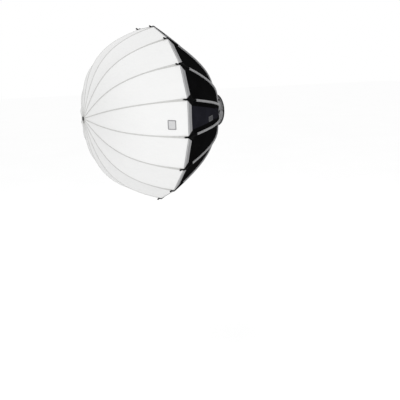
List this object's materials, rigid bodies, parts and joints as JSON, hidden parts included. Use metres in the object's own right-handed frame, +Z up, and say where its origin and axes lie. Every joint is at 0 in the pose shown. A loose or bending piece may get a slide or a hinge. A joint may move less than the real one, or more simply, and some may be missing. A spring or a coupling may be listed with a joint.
{
  "type": "domed folding softbox",
  "caption": "Folding umbrella-frame softbox for a studio lamp: black cloth shell with grey webbing on its ribs, white domed diffuser, slotted hub with a bayonet lamp mount.",
  "frame": {"origin": "centre of the lamp-mount face of the bayonet insert", "axes": "+Y along the light axis towards the lamp, -Y towards the domed front, +Z up, +X to the side that carries the release lever"},
  "size_m": [1.1914, 1.0427, 1.1914],
  "materials": {
    "shell_black": "black coated polyester, matte, silver lining inside",
    "dome_white": "white diffusion cloth",
    "band_grey": "light grey tape, two stitched lines",
    "webbing_grey": "light grey woven webbing",
    "tape_grey": "white-grey seam tape",
    "label_grey": "dark grey woven patch, blank",
    "light_grey": "light grey satin",
    "steel": "plain",
    "collar_grey": "dark grey satin casting",
    "rubber_black": "matte",
    "silver": "satin",
    "plastic_black": "fine texture",
    "lever_grey": "moulded ribs",
    "screw_black": "black oxide",
    "rod_black": "black coated steel rod",
    "front_rod": "grey glass-fibre rod",
    "tab_white": "white cloth"
  },
  "bodies": {
    "hub": {"mount_plate": "light_grey", "bayonet_insert": "steel", "hub_body": "collar_grey", "hub_cover": "collar_grey", "hinge_wire": "steel", "bumper_ring": "rubber_black", "throat_ring": "silver", "lever_bracket": "plastic_black", "lever_pin": "steel", "button_bezel": "plastic_black", "insert_screw_1": "screw_black", "insert_screw_2": "screw_black", "insert_screw_3": "screw_black", "body_screw_1": "screw_black", "body_screw_2": "screw_black", "body_screw_3": "screw_black", "shell_fabric": "shell_black", "dome_fabric": "dome_white", "rim_band": "band_grey", "ridge_webbing": "webbing_grey", "dome_tapes": "tape_grey", "rear_patch": "label_grey", "dome_label": "label_grey"},
    "lever": {"release_lever": "lever_grey"},
    "button": {"lock_button": "plastic_black"},
    "rib_01_body": {"rib_01": "rod_black"},
    "rib_02_body": {"rib_02": "rod_black"},
    "rib_03_body": {"rib_03": "rod_black"},
    "rib_04_body": {"rib_04": "rod_black"},
    "rib_05_body": {"rib_05": "rod_black"},
    "rib_06_body": {"rib_06": "rod_black"},
    "rib_07_body": {"rib_07": "rod_black"},
    "rib_08_body": {"rib_08": "rod_black"},
    "rib_09_body": {"rib_09": "rod_black"},
    "rib_10_body": {"rib_10": "rod_black"},
    "rib_11_body": {"rib_11": "rod_black"},
    "rib_12_body": {"rib_12": "rod_black"},
    "rib_13_body": {"rib_13": "rod_black"},
    "rib_14_body": {"rib_14": "rod_black"},
    "rib_15_body": {"rib_15": "rod_black"},
    "rib_16_body": {"rib_16": "rod_black"},
    "dome_rod_01_body": {"dome_rod_01": "front_rod"},
    "dome_rod_02_body": {"dome_rod_02": "front_rod"},
    "dome_rod_03_body": {"dome_rod_03": "front_rod"},
    "dome_rod_04_body": {"dome_rod_04": "front_rod"},
    "dome_rod_05_body": {"dome_rod_05": "front_rod"},
    "dome_rod_06_body": {"dome_rod_06": "front_rod"},
    "dome_rod_07_body": {"dome_rod_07": "front_rod"},
    "dome_rod_08_body": {"dome_rod_08": "front_rod"},
    "dome_rod_09_body": {"dome_rod_09": "front_rod"},
    "dome_rod_10_body": {"dome_rod_10": "front_rod"},
    "dome_rod_11_body": {"dome_rod_11": "front_rod"},
    "dome_rod_12_body": {"dome_rod_12": "front_rod"},
    "dome_rod_13_body": {"dome_rod_13": "front_rod"},
    "dome_rod_14_body": {"dome_rod_14": "front_rod"},
    "dome_rod_15_body": {"dome_rod_15": "front_rod"},
    "dome_rod_16_body": {"dome_rod_16": "front_rod"},
    "cap": {"front_cap": "plastic_black", "cap_tab": "tab_white"}
  },
  "joints": [
    {"name": "rib_01_fold", "type": "hinge", "parent": "hub", "child": "rib_01_body", "pos_m": [0.01951, -0.052, 0.09808], "axis": [0.9808, 0, -0.1951], "range_deg": [0, 40], "deforming": ["shell_fabric", "dome_fabric", "rim_band", "ridge_webbing", "dome_tapes", "rear_patch", "dome_label"]},
    {"name": "rib_02_fold", "type": "hinge", "parent": "hub", "child": "rib_02_body", "pos_m": [0.05556, -0.052, 0.08315], "axis": [0.8315, 0, -0.5556], "range_deg": [0, 40]},
    {"name": "rib_03_fold", "type": "hinge", "parent": "hub", "child": "rib_03_body", "pos_m": [0.08315, -0.052, 0.05556], "axis": [0.5556, 0, -0.8315], "range_deg": [0, 40]},
    {"name": "rib_04_fold", "type": "hinge", "parent": "hub", "child": "rib_04_body", "pos_m": [0.09808, -0.052, 0.01951], "axis": [0.1951, 0, -0.9808], "range_deg": [0, 40]},
    {"name": "rib_05_fold", "type": "hinge", "parent": "hub", "child": "rib_05_body", "pos_m": [0.09808, -0.052, -0.01951], "axis": [-0.1951, 0, -0.9808], "range_deg": [0, 40]},
    {"name": "rib_06_fold", "type": "hinge", "parent": "hub", "child": "rib_06_body", "pos_m": [0.08315, -0.052, -0.05556], "axis": [-0.5556, 0, -0.8315], "range_deg": [0, 40]},
    {"name": "rib_07_fold", "type": "hinge", "parent": "hub", "child": "rib_07_body", "pos_m": [0.05556, -0.052, -0.08315], "axis": [-0.8315, 0, -0.5556], "range_deg": [0, 40]},
    {"name": "rib_08_fold", "type": "hinge", "parent": "hub", "child": "rib_08_body", "pos_m": [0.01951, -0.052, -0.09808], "axis": [-0.9808, 0, -0.1951], "range_deg": [0, 40]},
    {"name": "rib_09_fold", "type": "hinge", "parent": "hub", "child": "rib_09_body", "pos_m": [-0.01951, -0.052, -0.09808], "axis": [-0.9808, 0, 0.1951], "range_deg": [0, 40]},
    {"name": "rib_10_fold", "type": "hinge", "parent": "hub", "child": "rib_10_body", "pos_m": [-0.05556, -0.052, -0.08315], "axis": [-0.8315, 0, 0.5556], "range_deg": [0, 40]},
    {"name": "rib_11_fold", "type": "hinge", "parent": "hub", "child": "rib_11_body", "pos_m": [-0.08315, -0.052, -0.05556], "axis": [-0.5556, 0, 0.8315], "range_deg": [0, 40]},
    {"name": "rib_12_fold", "type": "hinge", "parent": "hub", "child": "rib_12_body", "pos_m": [-0.09808, -0.052, -0.01951], "axis": [-0.1951, 0, 0.9808], "range_deg": [0, 40]},
    {"name": "rib_13_fold", "type": "hinge", "parent": "hub", "child": "rib_13_body", "pos_m": [-0.09808, -0.052, 0.01951], "axis": [0.1951, 0, 0.9808], "range_deg": [0, 40]},
    {"name": "rib_14_fold", "type": "hinge", "parent": "hub", "child": "rib_14_body", "pos_m": [-0.08315, -0.052, 0.05556], "axis": [0.5556, 0, 0.8315], "range_deg": [0, 40]},
    {"name": "rib_15_fold", "type": "hinge", "parent": "hub", "child": "rib_15_body", "pos_m": [-0.05556, -0.052, 0.08315], "axis": [0.8315, 0, 0.5556], "range_deg": [0, 40]},
    {"name": "rib_16_fold", "type": "hinge", "parent": "hub", "child": "rib_16_body", "pos_m": [-0.01951, -0.052, 0.09808], "axis": [0.9808, 0, 0.1951], "range_deg": [0, 40]},
    {"name": "dome_rod_01_hinge", "type": "hinge", "parent": "rib_01_body", "child": "dome_rod_01_body", "pos_m": [0.116, -0.54828, 0.58318], "axis": [0.9808, 0, -0.1951], "range_deg": [-80, 0]},
    {"name": "dome_rod_02_hinge", "type": "hinge", "parent": "rib_02_body", "child": "dome_rod_02_body", "pos_m": [0.33035, -0.54828, 0.4944], "axis": [0.8315, 0, -0.5556], "range_deg": [-80, 0]},
    {"name": "dome_rod_03_hinge", "type": "hinge", "parent": "rib_03_body", "child": "dome_rod_03_body", "pos_m": [0.4944, -0.54828, 0.33035], "axis": [0.5556, 0, -0.8315], "range_deg": [-80, 0]},
    {"name": "dome_rod_04_hinge", "type": "hinge", "parent": "rib_04_body", "child": "dome_rod_04_body", "pos_m": [0.58318, -0.54828, 0.116], "axis": [0.1951, 0, -0.9808], "range_deg": [-80, 0]},
    {"name": "dome_rod_05_hinge", "type": "hinge", "parent": "rib_05_body", "child": "dome_rod_05_body", "pos_m": [0.58318, -0.54828, -0.116], "axis": [-0.1951, 0, -0.9808], "range_deg": [-80, 0]},
    {"name": "dome_rod_06_hinge", "type": "hinge", "parent": "rib_06_body", "child": "dome_rod_06_body", "pos_m": [0.4944, -0.54828, -0.33035], "axis": [-0.5556, 0, -0.8315], "range_deg": [-80, 0]},
    {"name": "dome_rod_07_hinge", "type": "hinge", "parent": "rib_07_body", "child": "dome_rod_07_body", "pos_m": [0.33035, -0.54828, -0.4944], "axis": [-0.8315, 0, -0.5556], "range_deg": [-80, 0]},
    {"name": "dome_rod_08_hinge", "type": "hinge", "parent": "rib_08_body", "child": "dome_rod_08_body", "pos_m": [0.116, -0.54828, -0.58318], "axis": [-0.9808, 0, -0.1951], "range_deg": [-80, 0]},
    {"name": "dome_rod_09_hinge", "type": "hinge", "parent": "rib_09_body", "child": "dome_rod_09_body", "pos_m": [-0.116, -0.54828, -0.58318], "axis": [-0.9808, 0, 0.1951], "range_deg": [-80, 0]},
    {"name": "dome_rod_10_hinge", "type": "hinge", "parent": "rib_10_body", "child": "dome_rod_10_body", "pos_m": [-0.33035, -0.54828, -0.4944], "axis": [-0.8315, 0, 0.5556], "range_deg": [-80, 0]},
    {"name": "dome_rod_11_hinge", "type": "hinge", "parent": "rib_11_body", "child": "dome_rod_11_body", "pos_m": [-0.4944, -0.54828, -0.33035], "axis": [-0.5556, 0, 0.8315], "range_deg": [-80, 0]},
    {"name": "dome_rod_12_hinge", "type": "hinge", "parent": "rib_12_body", "child": "dome_rod_12_body", "pos_m": [-0.58318, -0.54828, -0.116], "axis": [-0.1951, 0, 0.9808], "range_deg": [-80, 0]},
    {"name": "dome_rod_13_hinge", "type": "hinge", "parent": "rib_13_body", "child": "dome_rod_13_body", "pos_m": [-0.58318, -0.54828, 0.116], "axis": [0.1951, 0, 0.9808], "range_deg": [-80, 0]},
    {"name": "dome_rod_14_hinge", "type": "hinge", "parent": "rib_14_body", "child": "dome_rod_14_body", "pos_m": [-0.4944, -0.54828, 0.33035], "axis": [0.5556, 0, 0.8315], "range_deg": [-80, 0]},
    {"name": "dome_rod_15_hinge", "type": "hinge", "parent": "rib_15_body", "child": "dome_rod_15_body", "pos_m": [-0.33035, -0.54828, 0.4944], "axis": [0.8315, 0, 0.5556], "range_deg": [-80, 0]},
    {"name": "dome_rod_16_hinge", "type": "hinge", "parent": "rib_16_body", "child": "dome_rod_16_body", "pos_m": [-0.116, -0.54828, 0.58318], "axis": [0.9808, 0, 0.1951], "range_deg": [-80, 0]},
    {"name": "cap_hinge", "type": "hinge", "parent": "dome_rod_01_body", "child": "cap", "pos_m": [0.003, -1.02032, 0.0151], "axis": [0.9808, 0, -0.1951], "range_deg": [0, 40]},
    {"name": "lever_pivot", "type": "hinge", "parent": "hub", "child": "lever", "pos_m": [0.11647, -0.03075, -0.00264], "axis": [0, -1, 0], "range_deg": [0, 35]},
    {"name": "button_press", "type": "slide", "parent": "hub", "child": "button", "axis": [-0.7071, 0, -0.7071], "range_m": [0, 0.0026], "stiffness_N_per_m": 600, "springref_m": -0.002}
  ],
  "couplings": [
    {"joint": "rib_02_fold", "follows": "rib_01_fold", "ratio": 1},
    {"joint": "rib_03_fold", "follows": "rib_01_fold", "ratio": 1},
    {"joint": "rib_04_fold", "follows": "rib_01_fold", "ratio": 1},
    {"joint": "rib_05_fold", "follows": "rib_01_fold", "ratio": 1},
    {"joint": "rib_06_fold", "follows": "rib_01_fold", "ratio": 1},
    {"joint": "rib_07_fold", "follows": "rib_01_fold", "ratio": 1},
    {"joint": "rib_08_fold", "follows": "rib_01_fold", "ratio": 1},
    {"joint": "rib_09_fold", "follows": "rib_01_fold", "ratio": 1},
    {"joint": "rib_10_fold", "follows": "rib_01_fold", "ratio": 1},
    {"joint": "rib_11_fold", "follows": "rib_01_fold", "ratio": 1},
    {"joint": "rib_12_fold", "follows": "rib_01_fold", "ratio": 1},
    {"joint": "rib_13_fold", "follows": "rib_01_fold", "ratio": 1},
    {"joint": "rib_14_fold", "follows": "rib_01_fold", "ratio": 1},
    {"joint": "rib_15_fold", "follows": "rib_01_fold", "ratio": 1},
    {"joint": "rib_16_fold", "follows": "rib_01_fold", "ratio": 1},
    {"joint": "dome_rod_01_hinge", "follows": "rib_01_fold", "ratio": -1.9985},
    {"joint": "dome_rod_02_hinge", "follows": "rib_01_fold", "ratio": -1.9985},
    {"joint": "dome_rod_03_hinge", "follows": "rib_01_fold", "ratio": -1.9985},
    {"joint": "dome_rod_04_hinge", "follows": "rib_01_fold", "ratio": -1.9985},
    {"joint": "dome_rod_05_hinge", "follows": "rib_01_fold", "ratio": -1.9985},
    {"joint": "dome_rod_06_hinge", "follows": "rib_01_fold", "ratio": -1.9985},
    {"joint": "dome_rod_07_hinge", "follows": "rib_01_fold", "ratio": -1.9985},
    {"joint": "dome_rod_08_hinge", "follows": "rib_01_fold", "ratio": -1.9985},
    {"joint": "dome_rod_09_hinge", "follows": "rib_01_fold", "ratio": -1.9985},
    {"joint": "dome_rod_10_hinge", "follows": "rib_01_fold", "ratio": -1.9985},
    {"joint": "dome_rod_11_hinge", "follows": "rib_01_fold", "ratio": -1.9985},
    {"joint": "dome_rod_12_hinge", "follows": "rib_01_fold", "ratio": -1.9985},
    {"joint": "dome_rod_13_hinge", "follows": "rib_01_fold", "ratio": -1.9985},
    {"joint": "dome_rod_14_hinge", "follows": "rib_01_fold", "ratio": -1.9985},
    {"joint": "dome_rod_15_hinge", "follows": "rib_01_fold", "ratio": -1.9985},
    {"joint": "dome_rod_16_hinge", "follows": "rib_01_fold", "ratio": -1.9985},
    {"joint": "cap_hinge", "follows": "rib_01_fold", "ratio": 0.9985}
  ]
}
